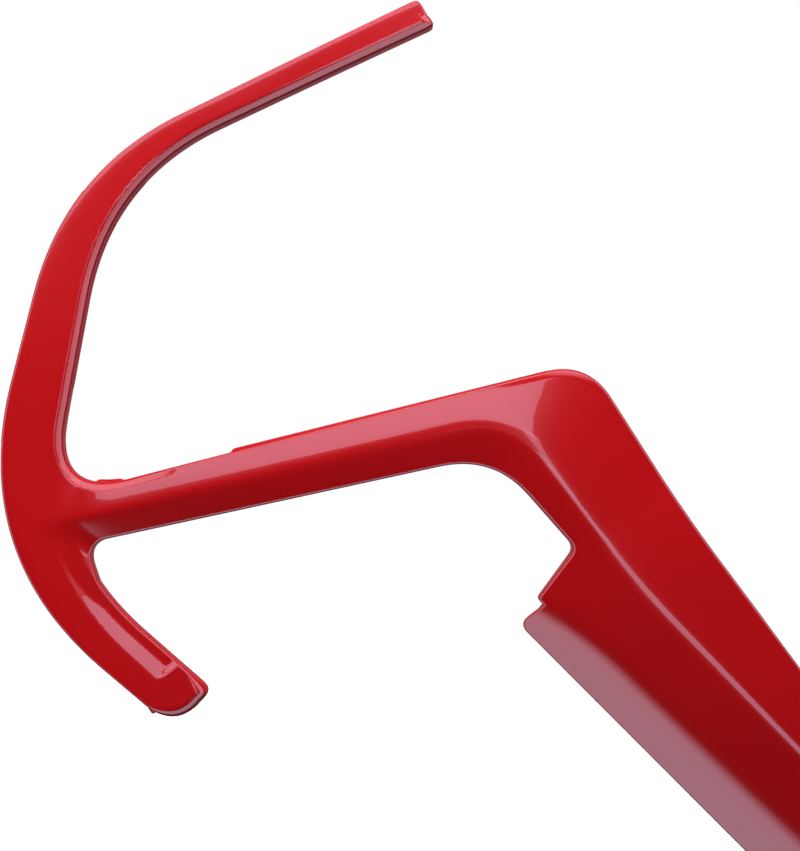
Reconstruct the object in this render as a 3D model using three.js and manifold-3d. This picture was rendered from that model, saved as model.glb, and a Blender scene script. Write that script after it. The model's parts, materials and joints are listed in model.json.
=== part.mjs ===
// Left-hand trim cover for a three-spoke steering wheel: a thin crowned moulding, a bow that hugs the button panel
// and one spoke that branches from it, turns a corner and runs down as a broad leg. Straight strips of foam tape hold
// it to the wheel. Each strip still carries its release liner, which peels off from its tab.
//
// The model is drawn in the plane of the wheel, in millimetres: x to the driver's right, y up, z towards the driver.
// The origin is on the outer face of the liner under the corner. That face is flat and is the sticking plane there.
// The last group turns the model so that +Z is up and -Y faces the driver.
import * as THREE from "three";
import { mergeVertices } from "three/addons/utils/BufferGeometryUtils.js";
import Module from "manifold-3d";

const wasm = await Module();
wasm.setup();

// ---- Driving dimensions ----
const DISH_RADIUS = 900; // the whole part is bent over a sphere of this radius, highest at the origin
const EDGE_Z = 2.6; // where the face meets the skirt
const RIM_Z = -1.5; // the skirt's back edge, which drops over the edge of the wheel's own bezel
const RIDGE_Z = 4.4; // the crest of the branch
const LEG_RIDGE_Z = 5; // the crest of the leg
const BOW_CROWN = 0.13; // the bow's crown height as a share of its width
const CROWN_FULLNESS = 1.2; // 1 would make the crown an ellipse; more makes its shoulders softer
const FACET_BULGE = 0.18; // how far each facet of the spoke swells above a flat roof
const WALL = 1.1; // skirt thickness
const FLANGE_WALL = 1.6;
const FLANGE_BACK_Z = -1.7;
const FLANGE_SOLID_FOOT = 0.35; // the share of the flange next to its foot that stays solid
const LAND_Z = 1.25; // the inside of the face, where the tape lies
const TAPE_TOP = 1.2;
const LINER_THICKNESS = 0.2;
const CLEARANCE = 0.08; // between a strip and the pocket or the liner it meets
const POCKET_MARGIN = 0.35; // the flat pocket round each strip
const TAB_LENGTH = 2.6; // the liner's free end, past the end of its tape
const TAB_ROUND = 0.8; // the radius of the tab's corners
const CUT_Z = -4.5; // cuts from behind start here, clear of the back
const CHANNEL_OFFSET = 0.2; // from the leg's ridge to the channel behind it
const CHANNEL_WIDTH = 4.2;
const CHANNEL_TOP = 3.1;
const RIB_THICKNESS = 1;
const RIB_Z = 0.5; // the ribs between the strips stop this far short of the sticking plane
const RIB_ROOT = 0.3; // how far a rib reaches into the face it stands on
const LIP_PROUD = 0.7; // the gripping lips stand this far outside the skirt
const LIP_HEIGHT = 1.5;
const BEND_STEPS = 9; // facets along each rounded corner
const STRAIGHT_STEPS = 3; // facets along each straight
const SHORTEST_FACET = 0.02; // as a share of a straight or bend
const CROWN_STEPS = 8; // facets across the bow
const FACET_STEPS = 3; // facets across each side of the spoke's roof

// ---- Edge paths: corners as [x, y, z, reach] ----
// A corner is rounded by a curve that starts `reach` before it and ends `reach` after it.
// The corners at the same place in a limb's paths lie opposite one another.
const BOW_OUTER = [
  [-22.1, 76.9, EDGE_Z],
  [-24, 79.1, EDGE_Z, 1.2],
  [-84, 49.8, EDGE_Z, 22],
  [-101.3, -16.5, EDGE_Z, 31],
  [-66.4, -46.2, EDGE_Z, 4.5],
  [-62.7, -43.4, EDGE_Z],
];
const BOW_INNER = [
  [-21.8, 76.3, EDGE_Z],
  [-20.9, 74.9, EDGE_Z, 1.2],
  [-76.8, 48.6, EDGE_Z, 21],
  [-88.4, -14.5, EDGE_Z, 23],
  [-59.2, -40, EDGE_Z, 2.5],
  [-62.3, -42.9, EDGE_Z],
];
const SPOKE_UPPER = [
  [-83.9, 10.3, 2.2],
  [-87, -6.8, 2.4, 14.5],
  [5.5, 17, EDGE_Z, 7.5],
  [14, 3.7, 3, 2],
  [22.9, -10.2, 3, 9],
  [62.6, -63, EDGE_Z, 5],
  [58.6, -67, 2.4],
];
const SPOKE_RIDGE = [
  [-91.6, -12, 3.2],
  [-82, -9.8, 3.8, 4],
  [-7.9, 7.7, RIDGE_Z, 9.5],
  [7, -11.8, LEG_RIDGE_Z, 2],
  [14, -21, LEG_RIDGE_Z, 8],
  [54.5, -62.5, 4.4, 3],
  [58.2, -67.4, 2.8],
];
const SPOKE_LOWER = [
  [-78.6, -21.2, 2.2],
  [-80.9, -14.5, EDGE_Z, 4.2],
  [-10.6, 0.9, EDGE_Z, 9.4],
  [3.4, -15, EDGE_Z, 1.6],
  [-3, -23.8, EDGE_Z, 0.8],
  [50.3, -74.8, EDGE_Z, 5],
  [57.9, -67.8, 2.4],
];
// The flange slopes back from the leg's lower edge.
const FLANGE_TOP = [
  [-1.6, -24.4, 2.5],
  [0.6, -26.6, 2.5, 2],
  [48.9, -73, 2.5],
];
const FLANGE_FOOT = [
  [-2.6, -25.6, 0.4],
  [-6.3, -28, -1, 1.8],
  [43.5, -77.2, -1],
];

// ---- Places along the limbs ----
// A place counts the pieces of a path: 2.5 is the middle of the third straight or bend.
const BOW_POCKET = [2.03, 7.15];
const SPOKE_POCKET = [1.55, 8.96];
const RIDGE_CHANNEL = [6.2, 8.85]; // thins the wall under the leg's ridge
const FLANGE_HOLLOW = [1.2, 2.96];
const LIPS = [
  { limb: "bow", side: "a", from: 3.12, to: 3.46, proud: 0.4 * LIP_PROUD },
  { limb: "bow", side: "a", from: 3.5, to: 5.2, proud: LIP_PROUD },
  { limb: "bow", side: "b", from: 3.4, to: 4.8, proud: 0.3 * LIP_PROUD },
  { limb: "spoke", side: "a", from: 1.72, to: 1.95, proud: LIP_PROUD },
  { limb: "spoke", side: "a", from: 2.24, to: 3.1, proud: LIP_PROUD },
];
const RIBS = [
  ["bow", 2.49],
  ["bow", 3.17],
  ["bow", 3.73],
  ["bow", 4.73],
  ["bow", 5.45],
  ["bow", 5.75],
  ["spoke", 2.04],
  ["spoke", 2.47],
  ["spoke", 2.94],
  ["spoke", 7.6],
  ["spoke", 8.3],
  ["spoke", 8.62],
];

// ---- Paths ----
function roundedPath(corners) {
  const points = corners.map(([x, y, z]) => new THREE.Vector3(x, y, z));
  const path = new THREE.CurvePath();
  let start = points[0];
  for (let i = 1; i < points.length - 1; i++) {
    const reach = corners[i][3];
    const towards = (other) => points[i].clone().lerp(other, reach / points[i].distanceTo(other));
    const [before, after] = [towards(points[i - 1]), towards(points[i + 1])];
    path.add(new THREE.LineCurve3(start, before));
    path.add(new THREE.QuadraticBezierCurve3(before, points[i], after));
    start = after;
  }
  path.add(new THREE.LineCurve3(start, points.at(-1)));
  return path;
}

function pointAt(path, place) {
  const piece = Math.min(Math.floor(place), path.curves.length - 1);
  return path.curves[piece].getPoint(place - piece);
}

// The places from one to another, with stops at the ends of every piece and steps along every bend.
function placesBetween(from, to) {
  const places = [from];
  for (let piece = Math.floor(from); piece < to; piece++) {
    const steps = piece % 2 === 1 ? BEND_STEPS : STRAIGHT_STEPS;
    for (let k = 0; k < steps; k++) {
      const place = piece + k / steps;
      if (place > from + SHORTEST_FACET && place < to - SHORTEST_FACET) places.push(place);
    }
  }
  return [...places, to];
}

// A limb lies between two edge paths. at(place) gives its two edges and the unit vector across it.
function makeLimb(cornersA, cornersB) {
  const [pathA, pathB] = [roundedPath(cornersA), roundedPath(cornersB)];
  const at = (place) => {
    const [a, b] = [pointAt(pathA, place), pointAt(pathB, place)];
    const across = new THREE.Vector3(b.x - a.x, b.y - a.y, 0).normalize();
    return { a, b, across, width: Math.hypot(b.x - a.x, b.y - a.y) };
  };
  return { at, end: pathA.curves.length };
}

const limbs = {
  bow: makeLimb(BOW_OUTER, BOW_INNER),
  spoke: makeLimb(SPOKE_UPPER, SPOKE_LOWER),
};

// The middle of a limb at a place, moved across it by `shift` towards edge b.
function middle(limb, place, shift = 0) {
  const { a, b, across } = limbs[limb].at(place);
  return a.lerp(b, 0.5).addScaledVector(across, shift);
}

// ---- Tape strips: each runs straight from its hinge end to its tab end ----
const SIDE_TAPE = 5.2;
const BRANCH_TAPE = 6;
const LEG_TAPE = 8;
const LEG_SHIFT = -6.5; // the leg's tape lies to the right of its ridge
const ALONG_LEG = new THREE.Vector3(0.6, -0.8, 0);
const CORNER_HALF = 7; // half the length of the tape under the corner, which is centred on the origin
const STRIPS = [
  { name: "arm_tip", from: middle("bow", 2.46), to: middle("bow", 2.1), width: 2.4 },
  { name: "arm", from: middle("bow", 3.1), to: middle("bow", 2.56), width: 2.8 },
  { name: "shoulder", from: middle("bow", 3.62), to: middle("bow", 3.3, -0.3), width: 3.2 },
  { name: "side_upper", from: middle("bow", 4.66), to: middle("bow", 3.82), width: SIDE_TAPE },
  { name: "side_lower", from: middle("bow", 5.38), to: middle("bow", 4.86), width: SIDE_TAPE },
  {
    name: "hook",
    from: new THREE.Vector3(-80, -25.2, 0),
    to: new THREE.Vector3(-71.5, -37.7, 0),
    width: 4,
    tab: 6.6,
  },
  {
    name: "branch_inner",
    from: middle("spoke", 2.44),
    to: middle("spoke", 2.1),
    width: BRANCH_TAPE,
  },
  {
    name: "branch_outer",
    from: middle("spoke", 2.88),
    to: middle("spoke", 2.5),
    width: BRANCH_TAPE,
  },
  {
    name: "corner",
    from: ALONG_LEG.clone().multiplyScalar(CORNER_HALF),
    to: ALONG_LEG.clone().multiplyScalar(-CORNER_HALF),
    width: LEG_TAPE,
  },
  {
    name: "leg_upper",
    from: middle("spoke", 8.28, LEG_SHIFT),
    to: middle("spoke", 7.8, LEG_SHIFT),
    width: LEG_TAPE,
  },
  {
    name: "leg_lower",
    from: middle("spoke", 8.8, -4),
    to: middle("spoke", 8.36, -5.5),
    width: 0.8 * LEG_TAPE,
  },
];

// ---- Solids ----
function solid(geometry) {
  const merged = mergeVertices(geometry.clone().deleteAttribute("normal").deleteAttribute("uv"), 1e-4);
  return new wasm.Manifold(
    new wasm.Mesh({
      numProp: 3,
      vertProperties: merged.attributes.position.array,
      triVerts: new Uint32Array(merged.index.array),
    }),
  );
}

function geometryOf(manifold) {
  const mesh = manifold.getMesh();
  const geometry = new THREE.BufferGeometry();
  geometry.setAttribute("position", new THREE.BufferAttribute(mesh.vertProperties, 3));
  geometry.setIndex(new THREE.BufferAttribute(mesh.triVerts, 1));
  geometry.computeVertexNormals();
  return geometry;
}

const dish = (x, y) => -(x * x + y * y) / (2 * DISH_RADIUS);

// Joins rings of equal length into one closed solid, bent over the dish. The end caps fan out from the hub point.
function loft(rings, hub = 0) {
  const count = rings[0].length;
  const positions = rings.flat().flatMap((p) => [p.x, p.y, p.z + dish(p.x, p.y)]);
  const index = [];
  for (let r = 0; r < rings.length - 1; r++)
    for (let k = 0; k < count; k++) {
      const a = r * count + k;
      const b = r * count + ((k + 1) % count);
      index.push(a, b, b + count, a, b + count, a + count);
    }
  const last = (rings.length - 1) * count;
  for (let k = 1; k < count - 1; k++) {
    const [p, q] = [(hub + k) % count, (hub + k + 1) % count];
    index.push(hub, q, p);
    index.push(last + hub, last + p, last + q);
  }
  const geometry = new THREE.BufferGeometry();
  geometry.setAttribute("position", new THREE.Float32BufferAttribute(positions, 3));
  geometry.setIndex(index);
  const made = solid(geometry);
  if (made.volume() > 0) return made;
  geometry.setIndex(index.reverse());
  return solid(geometry);
}

function range(from, to, steps) {
  return Array.from({ length: steps + 1 }, (_, i) => from + ((to - from) * i) / steps);
}

const join = (solids) => solids.reduce((all, next) => all.add(next));
const atHeight = (point, z) => new THREE.Vector3(point.x, point.y, z);

// A ring with four corners: p and q at the high level, then q and p at the low one.
function squareRing(p, q, low, high) {
  return [atHeight(p, high), atHeight(q, high), atHeight(q, low), atHeight(p, low)];
}

// A block that follows a limb, one wall in from its edges, between two levels.
function block(limb, [from, to], [low, high]) {
  const rings = placesBetween(from, to).map((place) => {
    const { a, b, across } = limb.at(place);
    const p = a.clone().addScaledVector(across, WALL);
    const q = b.clone().addScaledVector(across, -WALL);
    return squareRing(p, q, low, high);
  });
  return loft(rings);
}

// ---- The moulding's outer forms ----
function bowForm() {
  const rings = placesBetween(0, limbs.bow.end).map((place) => {
    const { a, b, width } = limbs.bow.at(place);
    const crown = range(0, Math.PI, CROWN_STEPS).map((turn) => {
      const point = a.clone().lerp(b, (1 - Math.cos(turn)) / 2);
      point.z = EDGE_Z + BOW_CROWN * width * Math.sin(turn) ** CROWN_FULLNESS;
      return point;
    });
    return [...crown, atHeight(b, RIM_Z), atHeight(a, RIM_Z)];
  });
  return loft(rings);
}

// The spoke has a roof of two facets that meet at the ridge.
function spokeForm() {
  const ridge = roundedPath(SPOKE_RIDGE);
  const facet = (from, to) =>
    range(0, 1, FACET_STEPS).map((share) => {
      const point = from.clone().lerp(to, share);
      point.z += FACET_BULGE * Math.sin(Math.PI * share);
      return point;
    });
  const rings = placesBetween(0, limbs.spoke.end).map((place) => {
    const { a, b } = limbs.spoke.at(place);
    const crest = pointAt(ridge, place);
    const back = [b, crest, a].map((point) => atHeight(point, RIM_Z));
    return [...facet(a, crest), ...facet(crest, b).slice(1), ...back];
  });
  return loft(rings, FACET_STEPS);
}

function flangeForm() {
  const [top, foot] = [roundedPath(FLANGE_TOP), roundedPath(FLANGE_FOOT)];
  const rings = placesBetween(0, top.curves.length).map((place) => {
    const [p, q] = [pointAt(top, place), pointAt(foot, place)];
    return [p, q, atHeight(q, FLANGE_BACK_Z), atHeight(p, FLANGE_BACK_Z)];
  });
  return loft(rings);
}

// ---- The moulding's back ----
// The flange is hollow behind, so that it is a sheet of even thickness.
function flangeHollow() {
  const [top, foot] = [roundedPath(FLANGE_TOP), roundedPath(FLANGE_FOOT)];
  const rings = placesBetween(...FLANGE_HOLLOW).map((place) => {
    const p = pointAt(top, place);
    const q = pointAt(foot, place).lerp(p, FLANGE_SOLID_FOOT);
    const [highP, highQ] = [p, q].map((point) => atHeight(point, point.z - FLANGE_WALL));
    return [highP, highQ, atHeight(q, CUT_Z), atHeight(p, CUT_Z)];
  });
  return loft(rings);
}

function ridgeChannel() {
  const ridge = roundedPath(SPOKE_RIDGE);
  const rings = placesBetween(...RIDGE_CHANNEL).map((place) => {
    const { across } = limbs.spoke.at(place);
    const crest = pointAt(ridge, place);
    const p = crest.clone().addScaledVector(across, CHANNEL_OFFSET);
    const q = p.clone().addScaledVector(across, CHANNEL_WIDTH);
    return squareRing(p, q, 0, CHANNEL_TOP);
  });
  return loft(rings);
}

function lip({ limb, side, from, to, proud }) {
  const rings = placesBetween(from, to).map((place) => {
    const { a, b, across } = limbs[limb].at(place);
    const [edge, outwards] = side === "a" ? [a, -1] : [b, 1];
    const p = edge.clone().addScaledVector(across, proud * outwards);
    const q = edge.clone().addScaledVector(across, (-WALL / 2) * outwards);
    return squareRing(p, q, RIM_Z, RIM_Z + LIP_HEIGHT);
  });
  return loft(rings);
}

// A rib crosses the channel behind the face at a right angle to the limb.
function rib([limb, place]) {
  const STEP = 0.02;
  const along = middle(limb, place + STEP).sub(middle(limb, place - STEP)).normalize();
  const across = new THREE.Vector3(-along.y, along.x, 0);
  const { a, b } = limbs[limb].at(place);
  const reach = Math.abs(b.clone().sub(a).dot(across)) / 2 - WALL / 2;
  const rings = [-RIB_THICKNESS / 2, RIB_THICKNESS / 2].map((offset) => {
    const centre = middle(limb, place).addScaledVector(along, offset);
    const p = centre.clone().addScaledVector(across, -reach);
    const q = centre.clone().addScaledVector(across, reach);
    return squareRing(p, q, RIB_Z, LAND_Z + RIB_ROOT);
  });
  return loft(rings);
}

// ---- The strips' own frame: x from the hinge end to the tab end, z towards the driver, z = 0 on the liner's back ----
function stripFrame({ from, to }) {
  const centre = from.clone().lerp(to, 0.5);
  const normal = new THREE.Vector3(centre.x, centre.y, DISH_RADIUS).normalize();
  const along = to.clone().sub(from);
  const length = along.length();
  along.addScaledVector(normal, -along.dot(normal)).normalize();
  const start = atHeight(centre, dish(centre.x, centre.y)).addScaledVector(along, -length / 2);
  const matrix = new THREE.Matrix4().makeBasis(along, normal.clone().cross(along), normal).setPosition(start);
  return { matrix, length };
}

function boxInStrip(strip, [fromX, toX], width, [low, high]) {
  const { matrix } = stripFrame(strip);
  const box = new THREE.BoxGeometry(toX - fromX, width, high - low);
  box.translate((fromX + toX) / 2, 0, (low + high) / 2).applyMatrix4(matrix);
  return solid(box);
}

// The flat pocket that a strip is stuck into.
function stripPocket(strip) {
  const { length } = stripFrame(strip);
  const span = [-POCKET_MARGIN, length + POCKET_MARGIN];
  const width = strip.width + 2 * POCKET_MARGIN;
  return boxInStrip(strip, span, width, [CUT_Z, TAPE_TOP + CLEARANCE]);
}

// Room for a liner's tab. Where the tab runs out past the edge, this cuts a notch in the skirt.
function tabRoom(strip) {
  const { length } = stripFrame(strip);
  const tab = strip.tab ?? TAB_LENGTH;
  const span = [length - POCKET_MARGIN, length + tab + POCKET_MARGIN];
  const width = strip.width + 2 * POCKET_MARGIN;
  return boxInStrip(strip, span, width, [CUT_Z, LINER_THICKNESS + POCKET_MARGIN]);
}

function tape(strip) {
  const { length } = stripFrame(strip);
  const low = LINER_THICKNESS + CLEARANCE;
  const box = new THREE.BoxGeometry(length, strip.width, TAPE_TOP - low);
  return box.translate(length / 2, 0, (TAPE_TOP + low) / 2);
}

// The liner covers its tape and ends in a tab with rounded corners.
function liner(strip) {
  const { length } = stripFrame(strip);
  const end = length + (strip.tab ?? TAB_LENGTH);
  const half = strip.width / 2;
  const shape = new THREE.Shape();
  shape.moveTo(0, -half);
  shape.lineTo(end - TAB_ROUND, -half);
  shape.absarc(end - TAB_ROUND, TAB_ROUND - half, TAB_ROUND, -Math.PI / 2, 0);
  shape.absarc(end - TAB_ROUND, half - TAB_ROUND, TAB_ROUND, 0, Math.PI / 2);
  shape.lineTo(0, half);
  return new THREE.ExtrudeGeometry(shape, { depth: LINER_THICKNESS, bevelEnabled: false, curveSegments: 4 });
}

// ---- The cover ----
function coverGeometry() {
  const { bow, spoke } = limbs;
  const shell = join([bowForm(), spokeForm(), flangeForm()]);
  const hollows = join([
    block(bow, BOW_POCKET, [CUT_Z, LAND_Z]),
    block(spoke, SPOKE_POCKET, [CUT_Z, LAND_Z]),
    flangeHollow(),
    ridgeChannel(),
  ]);
  const pockets = join(STRIPS.flatMap((strip) => [stripPocket(strip), tabRoom(strip)]));
  const moulding = shell.subtract(hollows).add(join([...LIPS.map(lip), ...RIBS.map(rib)]));
  return geometryOf(moulding.subtract(pockets));
}

// ---- The assembly ----
const PAINT = { color: 0xb80f16, roughness: 0.08, metalness: 0 };
const FOAM = { color: 0x2b2b2e, roughness: 0.9, metalness: 0 };
const FILM = { color: 0xd3202a, roughness: 0.3, metalness: 0 };

function addMesh(parent, name, geometry, finish) {
  const mesh = new THREE.Mesh(geometry, new THREE.MeshStandardMaterial(finish));
  mesh.name = name;
  parent.add(mesh);
  return mesh;
}

const wheelPlane = new THREE.Group();
wheelPlane.rotation.x = Math.PI / 2;
addMesh(wheelPlane, "trim_cover", coverGeometry(), PAINT);
for (const strip of STRIPS) {
  const place = new THREE.Group();
  place.applyMatrix4(stripFrame(strip).matrix);
  wheelPlane.add(place);
  addMesh(place, `tape_${strip.name}`, tape(strip), FOAM);
  addMesh(place, `liner_${strip.name}`, liner(strip), FILM);
}

const model = new THREE.Group();
model.add(wheelPlane);
export default model;
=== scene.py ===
"""Looks for a gloss-red steering wheel trim cover: one moulding on foam tape strips with release liners.

Shapes are worked out in millimetres in the wheel's plane: x right, y up, z towards the driver.
to_frame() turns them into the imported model's frame, in metres, where +Z is up and -Y faces the driver.
"""

import json
import math

import bmesh
import bpy
import numpy as np
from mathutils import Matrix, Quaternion, Vector
from mathutils.geometry import delaunay_2d_cdt
from mathutils.kdtree import KDTree


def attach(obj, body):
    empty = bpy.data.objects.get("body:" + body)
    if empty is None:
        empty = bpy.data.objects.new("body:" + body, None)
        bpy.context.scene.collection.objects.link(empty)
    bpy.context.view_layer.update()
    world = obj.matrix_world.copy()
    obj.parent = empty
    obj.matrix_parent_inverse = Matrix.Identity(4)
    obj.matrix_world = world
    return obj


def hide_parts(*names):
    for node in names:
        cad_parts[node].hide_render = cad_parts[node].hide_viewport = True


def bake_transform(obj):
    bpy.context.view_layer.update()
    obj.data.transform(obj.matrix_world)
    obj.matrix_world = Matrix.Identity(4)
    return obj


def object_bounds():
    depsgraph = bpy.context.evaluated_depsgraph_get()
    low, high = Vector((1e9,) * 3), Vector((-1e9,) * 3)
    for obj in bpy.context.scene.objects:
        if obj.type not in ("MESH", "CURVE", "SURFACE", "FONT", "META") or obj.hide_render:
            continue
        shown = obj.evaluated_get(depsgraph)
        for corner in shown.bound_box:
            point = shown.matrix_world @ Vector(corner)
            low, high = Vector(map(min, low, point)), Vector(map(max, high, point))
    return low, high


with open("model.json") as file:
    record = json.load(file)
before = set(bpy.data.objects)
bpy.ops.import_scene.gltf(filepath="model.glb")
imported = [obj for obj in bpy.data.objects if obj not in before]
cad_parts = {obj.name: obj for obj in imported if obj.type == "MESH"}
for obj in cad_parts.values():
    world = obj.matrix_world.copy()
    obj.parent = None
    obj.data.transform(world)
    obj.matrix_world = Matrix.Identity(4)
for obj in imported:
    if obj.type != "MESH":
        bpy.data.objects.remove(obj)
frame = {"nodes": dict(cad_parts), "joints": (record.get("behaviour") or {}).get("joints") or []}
CAD_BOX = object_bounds()

# ---- Driving dimensions, in millimetres ----
DISH_RADIUS = 900  # the whole part is bent over a sphere of this radius, highest at the origin
RIM_Z = -1.5  # the skirt's back edge
LAND_Z = 1.25  # the inside of the face, where the tape lies
WALL = 1.1  # skirt thickness
THINNEST = 0.5  # the least thickness of the face over a hollow
LEAST_SKIRT = 0.25  # the least drop from the face's edge to the rim
LEAST_HOLLOW = 0.1  # the least depth of a hollow
EDGE_RADIUS = 0.45
FLANGE_EDGE_RADIUS = 0.25
TIP_RADIUS = 2.2

# ---- The bow's face ----
BOW_Z = 2.9
BOW_FALL = 0.02  # how far the face falls at its outer edge, as a share of its width
BOW_FALL_POWER = 4  # how closely that fall keeps to the edge
BOW_BEYOND = 0.3  # how steeply the face falls past the bow's own edges
BOW_TILT = 0.12  # how steeply the face leans towards the bow's inner edge
ARM_TILT = 0.18
ARM_X = (-60, -28)  # where the bow's tilt turns into the arm's
BEVEL_SLOPE = 0.6  # the bevel along the inner edge
BEVEL_WIDTH = 1.3
BEVEL_BLEND = 0.1
HOOK_SLOPE = 0.23
HOOK_BLEND = 0.3

# ---- The flange and how the faces meet ----
FLANGE_Z = 2.5
FLANGE_SLOPE = 0.62
FLANGE_X = -12  # the flange lies to the right of this
FLANGE_Y = -19  # and below this
FAR_ABOVE = 99  # the flange's level where there is no flange
SPOKE_BLEND = 1.3  # how softly the spoke runs into the bow
FLANGE_BLEND = 1.4  # how softly the flange runs into the leg
CREST_BLEND = 0.4  # how softly one facet's slope turns into the other's

# ---- Edges: corners as (x, y, reach), where a rounded corner starts and ends `reach` away from it ----
BOW_OUTER = [(-22, 76.9, 0), (-23.4, 79.3, 1.2), (-84.2, 50, 22), (-101.3, -16.5, 31),
             (-65.5, -46.3, 5.6), (-61.3, -42.3, 0)]
BOW_INNER = [(-21.4, 76.3, 0), (-20.3, 75, 1.2), (-76.8, 48.6, 21), (-88.4, -14.5, 23),
             (-58.9, -39.9, 2.2), (-61, -41.9, 0)]
SPOKE_UPPER = [(-83.9, 10.3, 0), (-87, -6.8, 14.5), (5.5, 17, 7.5), (14, 3.7, 2), (22.9, -10.2, 9),
               (62.6, -63, 5), (58.6, -67, 0)]
SPOKE_LOWER = [(-78.6, -21.2, 0), (-80.9, -14.5, 4.2), (-10.6, 0.9, 9.4), (3.4, -15, 1.6), (-3, -23.8, 0.8),
               (50.3, -74.8, 5), (57.9, -67.8, 0)]
FLANGE_TOP = [(-1.6, -24.4, 0), (0.6, -26.6, 2), (48.9, -73, 0)]
FLANGE_FOOT = [(-2.6, -25.6, 0), (-6.1, -28.3, 2.2), (43.1, -77.8, 0)]
# The spoke's crest: (x, y, reach, level, slope of the facet above, slope of the facet below, roundness).
RIDGE = [(-95, -12.6, 0, 1.2, 0.16, 0.3, 0.8), (-79, -9.2, 4, 3.6, 0.18, 0.36, 0.8),
         (-7.9, 7.7, 9.5, 4.7, 0.18, 0.26, 1.3), (7, -11.8, 2, 4.7, 0.22, 0.26, 1.5),
         (14, -21, 8, 5, 0.2, 0.2, 2.2), (54.5, -62.5, 3, 4.4, 0.2, 0.2, 1.2),
         (60, -69, 0, 2.8, 0.2, 0.2, 1)]
# The facet inside the hook: where the hook starts, its direction, and the facet's sides as (distance down
# the hook, near side's distance from the inner edge, far side's). It fades out between two more distances.
HOOK_START = np.array([-82.1, -16.5])
HOOK_WAY = np.array([0.64, -0.768])
HOOK_FACET = [(-3, 3.6, 3.6), (6, 2.6, 4), (10, 1.6, 4.1), (24, 1.5, 4.4)]
HOOK_FACET_END = (24.4, 25.8)


def to_frame(points):
    """From the wheel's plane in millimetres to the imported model's frame in metres."""
    points = np.asarray(points, float)
    return np.stack([points[:, 0], -points[:, 2], points[:, 1]], axis=1) / 1000


def turn_to_frame(directions):
    """The same for directions, which have no length in millimetres."""
    return np.stack([directions[:, 0], -directions[:, 2], directions[:, 1]], axis=1)


# ---- Paths ----
def path_pieces(corners):
    """The straights and bends of a rounded path, each as the three control points of a quadratic curve."""
    reaches = [corner[2] for corner in corners]
    points = [np.array(corner[:2] + corner[3:], float) for corner in corners]
    pieces = []
    start = points[0]
    for i in range(1, len(points) - 1):
        before, after = (
            points[i] + (other - points[i]) * reaches[i] / np.linalg.norm((other - points[i])[:2])
            for other in (points[i - 1], points[i + 1])
        )
        pieces += [(start, (start + before) / 2, before), (before, points[i], after)]
        start = after
    pieces.append((start, (start + points[-1]) / 2, points[-1]))
    return pieces


def point_at(pieces, place):
    """The point at a place such as 2.5, the middle of the third piece."""
    index = min(int(place), len(pieces) - 1)
    a, b, c = pieces[index]
    t = place - index
    return (1 - t) ** 2 * a + 2 * t * (1 - t) * b + t**2 * c


def sample(corners, step=0.5):
    """A path as a polyline with points about `step` apart."""
    points = []
    for a, b, c in path_pieces(corners):
        count = max(2, math.ceil(np.linalg.norm((c - a)[:2]) / step))
        t = np.linspace(0, 1, count, endpoint=False)[:, None]
        points.append((1 - t) ** 2 * a + 2 * t * (1 - t) * b + t**2 * c)
    return np.vstack(points + [c[None]])


def extend(line, distance=30):
    """The same polyline run on straight past both ends."""
    first = line[0] + (line[0] - line[1]) / np.linalg.norm(line[0] - line[1]) * distance
    last = line[-1] + (line[-1] - line[-2]) / np.linalg.norm(line[-1] - line[-2]) * distance
    return np.vstack([first, line, last])


TREES = {}  # each polyline's search tree, kept with the polyline so that no other can take its id


def nearest_vertex(points, line):
    """The number of the polyline's vertex nearest each point."""
    if id(line) not in TREES:
        tree = KDTree(len(line))
        for i, (x, y) in enumerate(line[:, :2].tolist()):
            tree.insert((x, y, 0), i)
        tree.balance()
        TREES[id(line)] = (tree, line)
    find = TREES[id(line)][0].find
    return np.array([find((x, y, 0))[1] for x, y in points.tolist()])


def nearest(points, line):
    """Each point's distance to a polyline (positive on its left), nearest segment and share along it."""
    start, along = line[:-1, :2], np.diff(line[:, :2], axis=0)
    square = (along**2).sum(1)
    vertex = nearest_vertex(points, line)
    best = np.full(len(points), np.inf)
    segment, share = np.zeros(len(points), int), np.zeros(len(points))
    gap = np.zeros((len(points), 2))
    for step in (-2, -1, 0, 1):
        tried = np.clip(vertex + step, 0, len(start) - 1)
        offset = points - start[tried]
        part = np.clip((offset * along[tried]).sum(1) / square[tried], 0, 1)
        left = offset - part[:, None] * along[tried]
        square_gap = (left**2).sum(1)
        better = square_gap < best - 1e-12
        best[better], segment[better], share[better], gap[better] = (
            square_gap[better], tried[better], part[better], left[better]
        )
    side = along[segment, 0] * gap[:, 1] - along[segment, 1] * gap[:, 0]
    return np.sqrt(best) * np.where(side < 0, -1, 1), segment, share


def smoothstep(low, high, value):
    t = np.clip((value - low) / (high - low), 0, 1)
    return t * t * (3 - 2 * t)


def soft_min(a, b, width):
    h = np.clip(0.5 + 0.5 * (b - a) / width, 0, 1)
    return b + (a - b) * h - width * h * (1 - h)


def soft_max(a, b, width):
    return -soft_min(-a, -b, width)


def dish(points):
    return -(points[:, 0] ** 2 + points[:, 1] ** 2) / (2 * DISH_RADIUS)


# ---- The face as a height over the wheel's plane ----
# The bow's long edges without its end caps, run on past both ends.
BOW_OUTER_LINE = extend(sample([(-14.2, 83.9, 0), *BOW_OUTER[2:4], (-57.9, -53.7, 0)]))
BOW_INNER_LINE = extend(sample([(-12, 79.1, 0), *BOW_INNER[2:4], (-51, -47.2, 0)]))
RIDGE_LINE = sample(RIDGE)
FLANGE_LINE = extend(sample([FLANGE_TOP[0], FLANGE_TOP[2]], 1.2), 60)


def down_hook(points):
    return (points - HOOK_START) @ HOOK_WAY


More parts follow.
